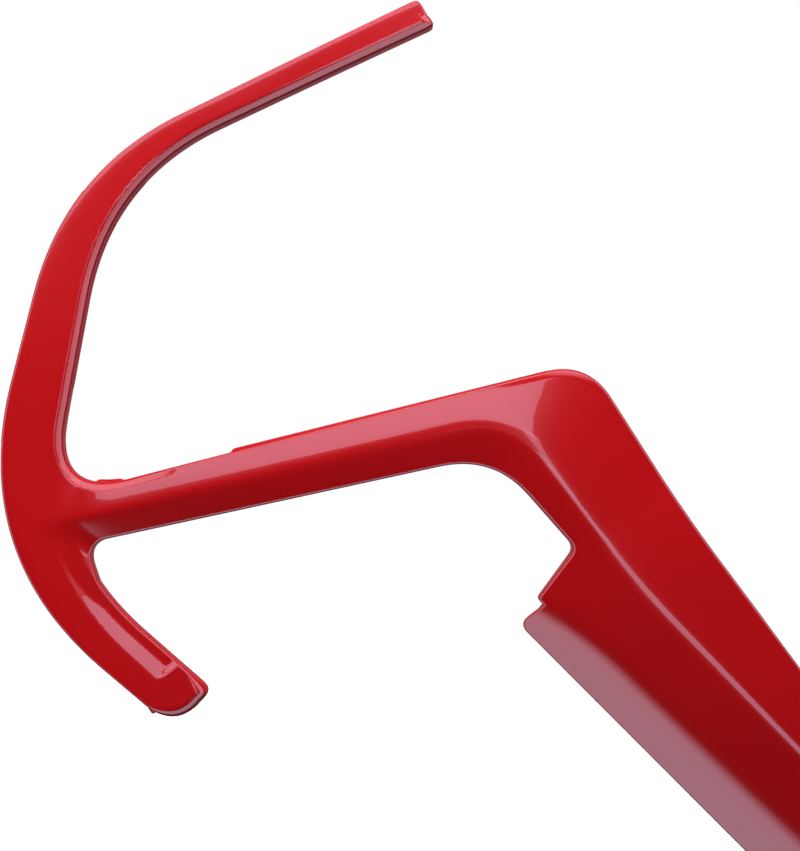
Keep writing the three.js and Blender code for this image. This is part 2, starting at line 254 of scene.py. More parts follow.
def hook_facet(points, inner):
    """How far the facet inside the hook cuts down, for points this far from the inner edge."""
    distances, near_sides, far_sides = zip(*HOOK_FACET)
    along = down_hook(points)
    near, far = np.interp(along, distances, near_sides), np.interp(along, distances, far_sides)
    drop = HOOK_SLOPE * soft_min(soft_max(far - inner, 0, HOOK_BLEND), far - near, HOOK_BLEND)
    return np.maximum(drop * (1 - smoothstep(*HOOK_FACET_END, along)), 0)


def bow_height(points):
    """A flat face that leans towards the inner edge and falls off at the outer one, less the hook facet."""
    outer, inner = nearest(points, BOW_OUTER_LINE)[0], -nearest(points, BOW_INNER_LINE)[0]
    width = np.maximum(outer + inner, 1)
    across = (outer - inner) / width
    fall = BOW_FALL * width * np.clip(-across, 0, 1.5) ** BOW_FALL_POWER
    beyond = BOW_BEYOND * np.maximum(0, -np.minimum(outer, inner))
    tilt = BOW_TILT + (ARM_TILT - BOW_TILT) * smoothstep(*ARM_X, points[:, 0])
    lean = tilt * np.clip(inner - outer, -width, width) / 2
    return BOW_Z - fall - beyond + lean - hook_facet(points, inner)


def spoke_height(points):
    """Two facets that fall away from a rounded crest."""
    distance, segment, share = nearest(points, RIDGE_LINE)
    here = RIDGE_LINE[segment] * (1 - share[:, None]) + RIDGE_LINE[segment + 1] * share[:, None]
    crest, slope_up, slope_down, radius = here[:, 2:].T
    slope = slope_down + (slope_up - slope_down) * smoothstep(-CREST_BLEND, CREST_BLEND, distance)
    return crest - slope * (np.sqrt(distance**2 + radius**2) - radius)


def by_flange(points):
    return (points[:, 0] >= FLANGE_X) & (points[:, 1] <= FLANGE_Y)


def past_flange_line(points):
    """How far points lie on the flange's side of the line where it leaves the leg."""
    return -nearest(points, FLANGE_LINE)[0]


def flange_height(points):
    height = FLANGE_Z - FLANGE_SLOPE * past_flange_line(points)
    return np.where(by_flange(points), height, FAR_ABOVE)


def face_height(points):
    """The face without its rounded edges, bent over the dish."""
    face = soft_max(bow_height(points), spoke_height(points), SPOKE_BLEND)
    return soft_min(face, flange_height(points), FLANGE_BLEND) + dish(points)


def slopes(function, points, step=0.05):
    """How steeply a height rises to the right and upwards."""
    right, up = np.array([step, 0]), np.array([0, step])
    return np.stack(
        [
            (function(points + right) - function(points - right)) / (2 * step),
            (function(points + up) - function(points - up)) / (2 * step),
        ],
        axis=1,
    )


# ---- Flat regions ----
def limb_polygon(edge_a, edge_b, hubs=()):
    """The polygon between two edges, drawn out at its start and end to the hub points where given."""
    first, second = sample(edge_a)[:, :2], sample(edge_b)[::-1, :2]
    if hubs:
        return np.vstack([hubs[:1], first, hubs[1:], second])
    return np.vstack([first, second])


def inside(points, polygon):
    """Which points lie in a closed polygon, by counting crossings."""
    a, b = polygon, np.roll(polygon, -1, axis=0)
    found = []
    for chunk in np.array_split(points, max(1, len(points) // 4000)):
        x, y = chunk[:, 0, None], chunk[:, 1, None]
        spans = (a[:, 1] > y) != (b[:, 1] > y)
        rise = np.where(b[:, 1] == a[:, 1], 1e-12, b[:, 1] - a[:, 1])
        crossing = x < a[:, 0] + (y - a[:, 1]) * (b[:, 0] - a[:, 0]) / rise
        found.append((spans & crossing).sum(1) % 2 == 1)
    return np.concatenate(found)


def closed(loop):
    return np.vstack([loop, loop[:1]])


def counter_clockwise(loop):
    area = (loop[:, 0] * np.roll(loop[:, 1], -1) - loop[:, 1] * np.roll(loop[:, 0], -1)).sum()
    return loop if area > 0 else loop[::-1]


def triangulate(loops, extra=None):
    """Triangles over closed loops and extra points: points, triangles, and which loops each one lies in."""
    loops = [counter_clockwise(loop) for loop in loops]
    points = np.vstack(loops + ([extra] if extra is not None and len(extra) else []))
    faces, first = [], 0
    for loop in loops:
        faces.append(list(range(first, first + len(loop))))
        first += len(loop)
    made = delaunay_2d_cdt([Vector(p) for p in points.tolist()], [], faces, 1, 1e-6, True)
    within = np.array([[k in ids for k in range(len(loops))] for ids in made[5]])
    return np.array([tuple(v) for v in made[0]]), np.array(made[2]), within


def boundary(points, triangles):
    """The outer loops of a triangulated region, each as an array of points, counter-clockwise."""
    edges = {}
    for a, b, c in triangles.tolist():
        for pair in ((a, b), (b, c), (c, a)):
            edges[pair] = True
    following = {a: b for a, b in edges if (b, a) not in edges}
    loops = []
    while following:
        start = next(iter(following))
        loop, here = [], start
        while here in following:
            loop.append(here)
            here = following.pop(here)
        loops.append(points[loop])
    return loops


# ---- The cover's outline and its channels ----
# A place such as 2.5 is the middle of an edge's third piece, counting its straights and bends.
LIMBS = {
    "bow": (BOW_OUTER, BOW_INNER),
    "spoke": (SPOKE_UPPER, SPOKE_LOWER),
    "flange": (FLANGE_TOP, FLANGE_FOOT),
}
HUBS = {"spoke": [(-91.6, -12), (58.2, -67.4)]}  # the ends of the spoke's crest
BOW_CHANNEL = (2.03, 7.15)
SPOKE_CHANNEL = (1.55, 8.96)
CHANNEL_STEP = 0.6
FOLDED = 0.98  # a point less than this share of a wall from its edge lies in a fold
FLANGE_HOLLOW = (1.2, 2.96)
FLANGE_HOLLOW_STEPS = 80
FLANGE_SOLID_TOP = 0.12  # the share of the flange that stays solid next to the leg
FLANGE_SOLID_FOOT = 0.35  # and next to its foot
FLANGE_WALL = 1.5
FLANGE_BACK_Z = -1.7
GROOVE = (0.2, 4.4)  # behind the leg's ridge: its two sides, measured from the ridge
GROOVE_TOP = 3.1
GROOVE_BLEND = 0.25
GROOVE_START_X = (6, 9)
GROOVE_END_X = (51, 53)
LIP_PROUD = 0.7
LIP_RAMP = 0.9  # the length over which a lip grows from nothing
LIP_STEP = 0.3
ON_EDGE = 0.1  # a point this close to an edge is on it
# Gripping lips: the limb, its edge, the places where the lip starts and ends, and how proud it is at each.
LIPS = [("bow", 0, 3.12, 3.46, 0.4, 0.4), ("bow", 0, 3.5, 5.2, 1, 1), ("bow", 1, 3.4, 4.8, 0.1, 0.1),
        ("spoke", 0, 1.72, 1.95, 0.7, 0.5), ("spoke", 0, 2.24, 3.1, 0.8, 0.1)]
RIBS = [("bow", 2.49), ("bow", 3.17), ("bow", 3.73), ("bow", 4.73), ("bow", 5.45), ("bow", 5.75),
        ("spoke", 2.04), ("spoke", 2.47), ("spoke", 2.94), ("spoke", 7.6), ("spoke", 8.3), ("spoke", 8.62)]
RIB_THICKNESS = 1
RIB_Z = 0.5
RIB_ROOT = 0.3  # how far a rib reaches into the face
# The notch in the skirt for the hook's liner tab.
NOTCH_CLEARANCE = 0.35  # at both ends of the tab
NOTCH_BLEND = 0.1
NOTCH_SIDES = (0.3, 0.5)  # where it fades out beside the tab
NOTCH_Z = 0.75
RIM_BLEND = 0.5


def outline():
    """The outer loop round the three limbs."""
    limbs = [limb_polygon(*LIMBS[name], HUBS.get(name, ())) for name in LIMBS]
    points, triangles, within = triangulate(limbs)
    return max(boundary(points, triangles[within.any(1)]), key=len)


def stretch(edge, span, step=0.5):
    """The part of an edge between two places."""
    pieces = path_pieces(edge)
    points = []
    for index in range(int(span[0]), math.ceil(span[1])):
        low, high = max(span[0], index), min(span[1], index + 1)
        a, b = point_at(pieces, low), point_at(pieces, high - 1e-9)
        count = max(2, math.ceil(np.linalg.norm((b - a)[:2]) / step))
        places = np.linspace(low, high - 1e-9, count, endpoint=False)
        points += [point_at(pieces, place)[:2] for place in places]
    return np.array(points + [point_at(pieces, span[1] - 1e-9)[:2]])


def channel(limb, span):
    """A channel's polygon: the limb between two places, one wall in from each edge."""
    lines = [stretch(edge, span, CHANNEL_STEP) for edge in LIMBS[limb]]
    moved = []
    for line, other in (lines, lines[::-1]):
        along = np.gradient(line, axis=0)
        along /= np.linalg.norm(along, axis=1)[:, None]
        inwards = np.stack([-along[:, 1], along[:, 0]], axis=1)
        inwards *= np.sign(inwards[0] @ (other[0] - line[0]))
        inner = line + WALL * inwards
        moved.append(inner[np.abs(nearest(inner, line)[0]) > FOLDED * WALL])
    return np.vstack([moved[0], moved[1][::-1]])


def flange_hollow():
    """The hollow's polygon, between a solid foot and the leg."""
    places = np.linspace(*FLANGE_HOLLOW, FLANGE_HOLLOW_STEPS)
    top, foot = (
        np.array([point_at(path_pieces(edge), place)[:2] for place in places])
        for edge in LIMBS["flange"]
    )
    foot = foot + (top - foot) * FLANGE_SOLID_FOOT
    top = top + (foot - top) * FLANGE_SOLID_TOP
    return np.vstack([top, foot[::-1]])


SHARP_TURN = 25  # degrees


def evenly(loop, step):
    """A closed loop with points spread evenly, keeping its sharp corners."""
    gaps = np.linalg.norm(np.diff(closed(loop), axis=0), axis=1)
    loop = loop[gaps > 1e-4]
    along = np.diff(closed(loop), axis=0)
    gaps = np.linalg.norm(along, axis=1)
    unit = along / gaps[:, None]
    turn = np.degrees(np.arccos(np.clip((unit * np.roll(unit, 1, axis=0)).sum(1), -1, 1)))
    corners = np.flatnonzero(turn > SHARP_TURN)
    points = []
    for i, first in enumerate(corners):
        last = corners[(i + 1) % len(corners)]
        run = np.arange(first, last + 1 if last > first else last + 1 + len(loop)) % len(loop)
        line = loop[run]
        reach = np.concatenate([[0], np.cumsum(np.linalg.norm(np.diff(line, axis=0), axis=1))])
        count = max(1, round(reach[-1] / step))
        t = np.linspace(0, reach[-1], count, endpoint=False)
        points.append(np.stack([np.interp(t, reach, line[:, k]) for k in (0, 1)], axis=1))
    return np.vstack(points)


def loop_normals(loop):
    """Unit vectors pointing out of a counter-clockwise loop, one for each point."""
    along = np.roll(loop, -1, axis=0) - np.roll(loop, 1, axis=0)
    along /= np.linalg.norm(along, axis=1)[:, None]
    return np.stack([along[:, 1], -along[:, 0]], axis=1)


# ---- The cover ----
# The skirt's rows of points as (share of the way down, share of the lip that they stand out by).
SKIRT_ROWS = ((0.5, 0), (0.58, 0.55), (0.65, 1), (0.93, 1), (1, 0.8))
GRAIN = 0.38  # spacing of points over the face
BACK_GRAIN = 0.7  # and over the back
EDGE_ROWS = 6  # rows of points round each rounded edge
ROW_TOLERANCE = 0.02  # a point of a row this far off its depth belongs to a fold at a corner
EDGE_MARGIN = 0.25  # the clear space between an outline and the grid of points beside it
CEILING_MARGIN = 0.3  # the same in a hollow
SHARP_EDGE = math.radians(38)
PAINTED, UNPAINTED = 0, 1  # the cover's two materials
JOINED = 0.004  # points closer than this become one
FLANGE_EDGE_X = (-14, -8)  # where the edge's radius changes to the flange's
FLANGE_EDGE_Y = (-18, -22)
TIP_REACH = (27, 32)  # where it grows to the tip's, down the hook
HOOK_X = -50  # the hook lies to the left of this
BRANCH_START = (-82, 0)
BRANCH_SLOPE = 0.23
BEVEL_END_BELOW = (-11, -8)  # where the bevel fades out, measured up from the branch's line
BEVEL_END_X = (-74, -60)  # and where it fades out along the branch
BEVEL_END_Y = (20, 10)


def edge_radius(points):
    """The radius of the face's rounded edge: less where the flange thins out, more at the hook's tip."""
    along_flange = smoothstep(-1, 1, past_flange_line(points))
    near = smoothstep(*FLANGE_EDGE_X, points[:, 0]) * smoothstep(*FLANGE_EDGE_Y, points[:, 1])
    at_tip = smoothstep(*TIP_REACH, down_hook(points)) * (points[:, 0] < HOOK_X)
    radius = EDGE_RADIUS + (FLANGE_EDGE_RADIUS - EDGE_RADIUS) * along_flange * near
    return radius + (TIP_RADIUS - EDGE_RADIUS) * at_tip


def bevel_share(points):
    """1 along the bow's inner edge, from the arm's tip round to the start of the branch; 0 elsewhere."""
    inner_side = nearest(points, BOW_OUTER_LINE)[0] + nearest(points, BOW_INNER_LINE)[0]
    over_branch = points[:, 1] - BRANCH_SLOPE * (points[:, 0] - BRANCH_START[0]) - BRANCH_START[1]
    on_branch = smoothstep(*BEVEL_END_X, points[:, 0]) * smoothstep(*BEVEL_END_Y, points[:, 1])
    return smoothstep(0, 1.5, inner_side) * smoothstep(*BEVEL_END_BELOW, over_branch) * (1 - on_branch)


class Face:
    """The moulding's front as a height over the wheel's plane, with its edges rounded down to the skirt."""

    def __init__(self, loop):
        self.loop = closed(loop)

    def depth_in(self, points):
        """How far points lie in from the outline."""
        return np.maximum(nearest(points, self.loop)[0], 0)

    def bevel(self, points):
        """How far the bevel cuts down, and how steeply."""
        past = BEVEL_WIDTH - self.depth_in(points)
        reach = np.sqrt(past**2 + BEVEL_BLEND**2)
        share = BEVEL_SLOPE * bevel_share(points)
        return share * (past + reach) / 2, share * (1 + past / reach) / 2

    def height(self, points):
        """The level of the face with its bevel and rounded edge."""
        radius = edge_radius(points)
        share = np.clip((radius - self.depth_in(points)) / radius, 0, 1)
        return face_height(points) - self.bevel(points)[0] - radius * (1 - np.sqrt(1 - share**2))

    def normals(self, points):
        """Unit normals, which turn level with the plane at the very edge."""
        radius = edge_radius(points)
        distance, segment, share = nearest(points, self.loop)
        foot = self.loop[segment] * (1 - share[:, None]) + self.loop[segment + 1] * share[:, None]
        outwards = foot - points
        length = np.linalg.norm(outwards, axis=1)
        along = self.loop[segment + 1] - self.loop[segment]
        along /= np.linalg.norm(along, axis=1)[:, None]
        level = np.stack([along[:, 1], -along[:, 0]], axis=1)
        far = length > 1e-3
        level[far] = outwards[far] / length[far, None]
        level *= np.where(distance < -1e-3, -1, 1)[:, None]
        slope = slopes(face_height, points) - self.bevel(points)[1][:, None] * level
        upright = np.column_stack([-slope, np.ones(len(points))])
        upright /= np.linalg.norm(upright, axis=1)[:, None]
        turned = np.clip((radius - np.maximum(distance, 0)) / radius, 0, 1)[:, None]
        outwards = np.column_stack([level, np.zeros(len(points))])
        normal = upright * np.sqrt(1 - turned**2) + outwards * turned
        return normal / np.linalg.norm(normal, axis=1)[:, None]


def lip_at(loop):
    """How far the gripping lips stand out at each point of the outline."""
    proud = np.zeros(len(loop))
    for limb, side, low, high, at_low, at_high in LIPS:
        line = stretch(LIMBS[limb][side], (low, high), LIP_STEP)
        distance, segment, part = nearest(loop, line)
        reach = np.concatenate([[0], np.cumsum(np.linalg.norm(np.diff(line, axis=0), axis=1))])
        here = reach[segment] + part * (reach[segment + 1] - reach[segment])
        ramp = smoothstep(0, LIP_RAMP, np.minimum(here, reach[-1] - here))
        share = at_low + (at_high - at_low) * here / reach[-1]
        proud = np.maximum(proud, np.where(np.abs(distance) < ON_EDGE, LIP_PROUD * share * ramp, 0))
    return proud


def rim_height(points):
    """The level of the skirt's back edge, raised where the hook's liner tab passes under it."""
    beside_leg = smoothstep(-RIM_BLEND, RIM_BLEND, past_flange_line(points))
    level = RIM_Z + (FLANGE_BACK_Z - RIM_Z) * beside_leg * by_flange(points)
    start, along, width, length, tab = HOOK_NOTCH
    offset = points - start
    ahead = offset @ along
    aside = np.abs(offset @ np.array([-along[1], along[0]]))
    low, high = length - NOTCH_CLEARANCE, length + tab + NOTCH_CLEARANCE
    in_notch = smoothstep(low - NOTCH_BLEND, low + NOTCH_BLEND, ahead)
    in_notch *= 1 - smoothstep(high - NOTCH_BLEND, high + NOTCH_BLEND, ahead)
    in_notch *= 1 - smoothstep(*(width / 2 + np.array(NOTCH_SIDES)), aside)
    return level + in_notch * (NOTCH_Z - RIM_Z) + dish(points)


def ceiling_height(points):
    """The inside of the face: flat where the tape lies, higher in the groove behind the leg's ridge."""
    distance = -nearest(points, RIDGE_LINE)[0]
    low, high = GROOVE
    groove = smoothstep(low - GROOVE_BLEND, low + GROOVE_BLEND, distance)
    groove *= 1 - smoothstep(high - GROOVE_BLEND, high + GROOVE_BLEND, distance)
    groove *= smoothstep(*GROOVE_START_X, points[:, 0]) * (1 - smoothstep(*GROOVE_END_X, points[:, 0]))
    level = LAND_Z + (GROOVE_TOP - LAND_Z) * groove + dish(points)
    return np.minimum(level, face_height(points) - FLANGE_WALL)


class Patches:
    """Collects patches of a mesh, each with a material and, where given, its own normals."""

    def __init__(self):
        self.points, self.faces, self.materials, self.normals = [], [], [], []
        self.count = 0

    def add(self, points, faces, material, normals=None):
        self.points.append(np.asarray(points, float))
        self.normals.append(np.zeros((len(points), 3)) if normals is None else normals)
        self.faces += [tuple(int(k) + self.count for k in face) for face in faces]
        self.materials += [material] * len(faces)
        self.count += len(points)

    def mesh(self, name):
        """One mesh from all the patches, with points that nearly meet joined."""
        points, normals = np.vstack(self.points), np.vstack(self.normals)
        tree = KDTree(len(points))
        for i, point in enumerate(points.tolist()):
            tree.insert(point, i)
        tree.balance()
        first = np.full(len(points), -1)
        for i, point in enumerate(points.tolist()):
            if first[i] < 0:
                twins = np.array([found[1] for found in tree.find_range(point, JOINED)])
                first[twins[first[twins] < 0]] = i
        kept, same = np.unique(first, return_inverse=True)
        faces, materials, loop_vectors = [], [], []
        for face, material in zip(self.faces, self.materials):
            corners = [same[k] for k in face]
            if len(set(corners)) < len(corners):
                continue
            faces.append([int(k) for k in corners])
            materials.append(material)
            loop_vectors += [normals[k] for k in face]
        made = bpy.data.meshes.new(name)
        made.from_pydata(to_frame(points[kept]).tolist(), [], faces)
        made.polygons.foreach_set("material_index", materials)
        made.polygons.foreach_set("use_smooth", [True] * len(faces))
        made.set_sharp_from_angle(angle=SHARP_EDGE)
        made.normals_split_custom_set(turn_to_frame(np.array(loop_vectors)).tolist())
        made.update()
        return made


def strip_between(lower, upper, count):
    """Quads between two closed rows of points numbered from `lower` and from `upper`."""
    return [(lower + i, lower + (i + 1) % count, upper + (i + 1) % count, upper + i) for i in range(count)]


def grid_inside(loop, step, margin=0.0):
    """Points of a triangular grid inside a loop, at least `margin` from it."""
    low, high = loop.min(0), loop.max(0)
    rows = np.arange(low[1], high[1], step * 0.866)
    columns = np.arange(low[0], high[0], step)
    x, y = np.meshgrid(columns, rows)
    x = x + (np.arange(len(rows)) % 2)[:, None] * step / 2
    points = np.column_stack([x.ravel(), y.ravel()])
    points = points[inside(points, loop)]
    return points[nearest(points, closed(loop))[0] > margin]


def add_front(patches, face, loop):
    """The face: rows of points round its rounded edge and a grid over the rest."""
    radius = edge_radius(loop)[:, None]
    inwards = -loop_normals(loop)
    rows = []
    for k in range(1, EDGE_ROWS + 1):
        depth = radius * (1 - math.cos(math.pi / 2 * k / EDGE_ROWS))
        row = loop + inwards * depth
        rows.append(row[np.abs(face.depth_in(row) - depth[:, 0]) < ROW_TOLERANCE])
    grid = grid_inside(loop, GRAIN)
    grid = grid[face.depth_in(grid) > edge_radius(grid) + EDGE_MARGIN]
    points, triangles, within = triangulate([loop], np.vstack([*rows, grid]))
    levels = face.height(points)
    patches.add(np.column_stack([points, levels]), triangles[within[:, 0]], PAINTED, face.normals(points))


def add_skirt(patches, face, loop):
    """The outer wall from the face's edge to the rim, with its lips. Returns the outline of the rim."""
    top = face.height(loop)
    outwards = loop_normals(loop)
    proud = lip_at(loop)[:, None]
    bottom = np.minimum(rim_height(loop), top - LEAST_SKIRT)
    rows, row = [np.column_stack([loop, top])], loop
    for share, lip in SKIRT_ROWS:
        row = loop + outwards * proud * lip
        rows.append(np.column_stack([row, top + (bottom - top) * share]))
    count = len(loop)
    faces = []
    for k in range(len(SKIRT_ROWS)):
        faces += strip_between((k + 1) * count, k * count, count)
    patches.add(np.vstack(rows), faces, PAINTED)
    return row, bottom


def open_rim_height(points, face):
    return np.minimum(rim_height(points), face.height(points) - LEAST_SKIRT)


def hollow_height(points, face):
    level = np.minimum(ceiling_height(points), face.height(points) - THINNEST)
    return np.maximum(level, open_rim_height(points, face) + LEAST_HOLLOW)


def add_back(patches, face, rim, rim_level, hollows):
    """The rim, the walls of the hollows and their ceilings."""
    grid = grid_inside(rim, BACK_GRAIN)
    for hollow in hollows:
        beside = np.abs(nearest(grid, closed(hollow))[0]) < EDGE_MARGIN
        grid = grid[~(beside | inside(grid, hollow))]
    grid = grid[nearest(grid, closed(rim))[0] > EDGE_MARGIN]
    points, triangles, within = triangulate([rim, *hollows], grid)
    solid = within[:, 0] & ~within[:, 1:].any(1)
    distance, segment, share = nearest(points, closed(rim))
    ring = np.append(rim_level, rim_level[0])
    at_rim = ring[segment] * (1 - share) + ring[segment + 1] * share
    level = np.where(np.abs(distance) < 1e-3, at_rim, open_rim_height(points, face))
    patches.add(np.column_stack([points, level]), triangles[solid][:, ::-1], UNPAINTED)
    for hollow in hollows:
        count = len(hollow)
        ends = [open_rim_height(hollow, face), hollow_height(hollow, face)]
        rows = np.vstack([np.column_stack([hollow, end]) for end in ends])
        patches.add(rows, [quad[::-1] for quad in strip_between(0, count, count)], UNPAINTED)
        points, triangles, within = triangulate([hollow], grid_inside(hollow, BACK_GRAIN, CEILING_MARGIN))
        level = hollow_height(points, face)
        patches.add(np.column_stack([points, level]), triangles[within[:, 0]][:, ::-1], UNPAINTED)


def add_rib(patches, limb, place):
    """A rib across the channel, at a right angle to the limb, with a slightly rounded crest."""
    pieces = [path_pieces(edge) for edge in LIMBS[limb]]

    def middle(at):  # half way across the limb
        return (point_at(pieces[0], at)[:2] + point_at(pieces[1], at)[:2]) / 2

    along = middle(place + 0.02) - middle(place - 0.02)
    along /= np.linalg.norm(along)
    across = np.array([-along[1], along[0]])
    a, b = point_at(pieces[0], place)[:2], point_at(pieces[1], place)[:2]
    reach = abs((b - a) @ across) / 2 - WALL / 2
    half = [(0.5, LAND_Z + RIB_ROOT), (0.5, RIB_Z + 0.2), (0.35, RIB_Z + 0.04), (0.15, RIB_Z)]
    profile = [(-offset, z) for offset, z in half] + half[::-1]
    points = []
    for end in (-reach, reach):
        for offset, z in profile:
            at = middle(place) + along * offset * RIB_THICKNESS + across * end
            points.append((*at, z + dish(at[None])[0]))
    count = len(profile)
    ends = [tuple(range(count))[::-1], tuple(range(count, 2 * count))]
    patches.add(points, strip_between(0, count, count) + ends, UNPAINTED)


# ---- Strips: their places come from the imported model's liners, tapes and hinges ----
LINER_THICKNESS = 0.2
FILM_GAP = 0.02  # the film is this much inside the liner's two faces
FILM_STEP = 0.45
FILM_COLUMNS = 7
TAB_ROUND = 0.4  # the radius of the tab's corners
TAB_ROWS = 8
TAB_LIFT = (0.05, 0.12)  # how far a tab lifts, from the least to the most
FOAM_INSET = 0.08  # the foam's sides stand this far inside the tape's
FOAM_END_GAP = 0.05
FOAM_STEP = 0.5
FOAM_WAVER = 0.05
FOAM_BELLY = 0.04
FOAM_CORNER = 0.05
FOAM_ROUND = 0.12
SHEET_EDGE = math.radians(40)


def from_frame(points):
    """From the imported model's frame in metres to the wheel's plane in millimetres."""
    points = np.asarray(points, float) * 1000
    return np.stack([points[..., 0], points[..., 2], -points[..., 1]], axis=-1)


def node_points(name):
    """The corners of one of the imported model's meshes."""
    mesh = frame["nodes"][name].data
    points = np.zeros(len(mesh.vertices) * 3)
    mesh.vertices.foreach_get("co", points)
    return from_frame(points.reshape(-1, 3))


def read_strip(joint):
    """One strip's own axes and sizes, with its start on the hinge and the film just behind it."""
    name = joint["child"].removeprefix("liner_")
    start = from_frame(joint["pos_m"])
    across = from_frame(joint["axis"])
    across /= np.linalg.norm(across)
    film = node_points("liner_" + name) - start
    level = film - np.outer(film @ across, across)
    level -= level.mean(0)
    along = np.linalg.svd(level)[2][0]
    along *= np.sign(film.mean(0) @ along)
    normal = np.cross(along, across)
    if normal[2] < 0:
        normal = -normal
    tape = node_points("tape_" + name) - start
    return {
        "name": name,
        "start": start,
        "axes": np.array([along, across, normal]),
        "film": (film @ along).max(),
        "tape": (tape @ along).max(),
        "levels": ((tape @ normal).min(), (tape @ normal).max()),
        "width": 2 * (tape @ across).max(),
    }


STRIPS = [read_strip(joint) for joint in frame["joints"]]
HOOK = next(strip for strip in STRIPS if strip["name"] == "hook")
HOOK_TAB = HOOK["film"] - HOOK["tape"]
HOOK_NOTCH = (HOOK["start"][:2], HOOK["axes"][0][:2], HOOK["width"], HOOK["tape"], HOOK_TAB)


def place_in_strip(strip, points):
    """From a strip's own axes to the wheel's plane."""
    return strip["start"] + np.asarray(points, float) @ strip["axes"]


def closed_sheet(sections):
    """Faces of a closed form from sections of equal length, with flat ends."""
    count = len(sections[0])
    faces = []
    for k in range(len(sections) - 1):
        faces += strip_between(k * count, (k + 1) * count, count)
    last = (len(sections) - 1) * count
    return faces + [tuple(range(count))[::-1], tuple(range(last, last + count))]


def new_object(name, mesh, materials):
    """An object in the scene with its materials in slots."""
    made = bpy.data.objects.new(name, mesh)
    bpy.context.scene.collection.objects.link(made)
    for material in materials:
        mesh.materials.append(material)
    return made


def sheet_object(name, strip, sections, material):
    """A closed form lofted through sections given in a strip's own axes."""
    points = place_in_strip(strip, np.vstack(sections))
    made = bpy.data.meshes.new(name)
    made.from_pydata(to_frame(points).tolist(), [], closed_sheet(sections))
    made.polygons.foreach_set("use_smooth", [True] * len(made.polygons))
    made.validate()
    turned = bmesh.new()
    turned.from_mesh(made)
    bmesh.ops.recalc_face_normals(turned, faces=turned.faces)
    turned.to_mesh(made)
    turned.free()
    made.set_sharp_from_angle(angle=SHEET_EDGE)
    return new_object(name, made, [material])


def foam_tape(strip, draw, material):
    """Closed-cell foam: the cut sides belly out a little and waver along the strip."""
    low, high = strip["levels"]
    middle = (low + high) / 2
    side = [(-FOAM_CORNER, low), (0, low + FOAM_ROUND), (FOAM_BELLY, middle), (0, high - FOAM_ROUND),
            (-FOAM_CORNER, high)]
    half = strip["width"] / 2 - FOAM_INSET
    count = max(12, round(strip["tape"] / FOAM_STEP))
    sections = []
    for u in np.linspace(FOAM_END_GAP, strip["tape"] - FOAM_END_GAP, count):
        left, right = half + draw.uniform(-FOAM_WAVER, FOAM_WAVER, 2)
        section = [(u, -left - out, w) for out, w in side] + [(u, 0, high)]
        section += [(u, right + out, w) for out, w in side[::-1]] + [(u, 0, low)]
        sections.append(section)
    return sheet_object("foam_" + strip["name"], strip, sections, material)


def liner_film(strip, draw, material):
    """The release film: flat on its tape, with a tab that has rounded corners and lifts a little."""
    length = strip["film"]
    lift = draw.uniform(*TAB_LIFT)
    flat = np.linspace(0, length - TAB_ROUND, max(16, round(length / FILM_STEP)))
    turn = np.linspace(0, math.pi / 2, TAB_ROWS)[1:-1]
    places = np.concatenate([flat, length - TAB_ROUND + TAB_ROUND * np.sin(turn), [length]])
    sections = []
    for u in places:
        past = max(0, u - (length - TAB_ROUND))
        reach = strip["width"] / 2 - TAB_ROUND + math.sqrt(max(0, TAB_ROUND**2 - past**2))
        sink = -lift * smoothstep(strip["tape"], length, np.array(u))
        across = np.linspace(-reach, reach, FILM_COLUMNS)
        upper = [(u, v, sink - FILM_GAP) for v in across]
        lower = [(u, v, sink - LINER_THICKNESS + FILM_GAP) for v in across[::-1]]
        sections.append(upper + lower)
    return sheet_object("film_" + strip["name"], strip, sections, material)


# ---- Materials: texture scales are per metre ----
LACQUER = (0.43, 0.0035, 0.005, 1)
LACQUER_DEEP = (0.38, 0.003, 0.0045, 1)
LACQUER_IOR = 1.5
DUST = (0.75, 0.45, 0.45, 1)
DUST_COVER = 0.12  # how much of the lacquer's colour a speck hides
BARE_PLASTIC = (0.33, 0.006, 0.008, 1)
BARE_PLASTIC_DEEP = (0.24, 0.004, 0.006, 1)
CHARCOAL = (0.05, 0.05, 0.053, 1)
# the foam's colour at the bottom of its pits: painted shade, not a colour of the foam
CHARCOAL_PIT_SHADE = (0.018, 0.018, 0.02, 1)
FILM_RED = (0.7, 0.08, 0.1, 1)
FILM_RED_DEEP = (0.58, 0.05, 0.065, 1)


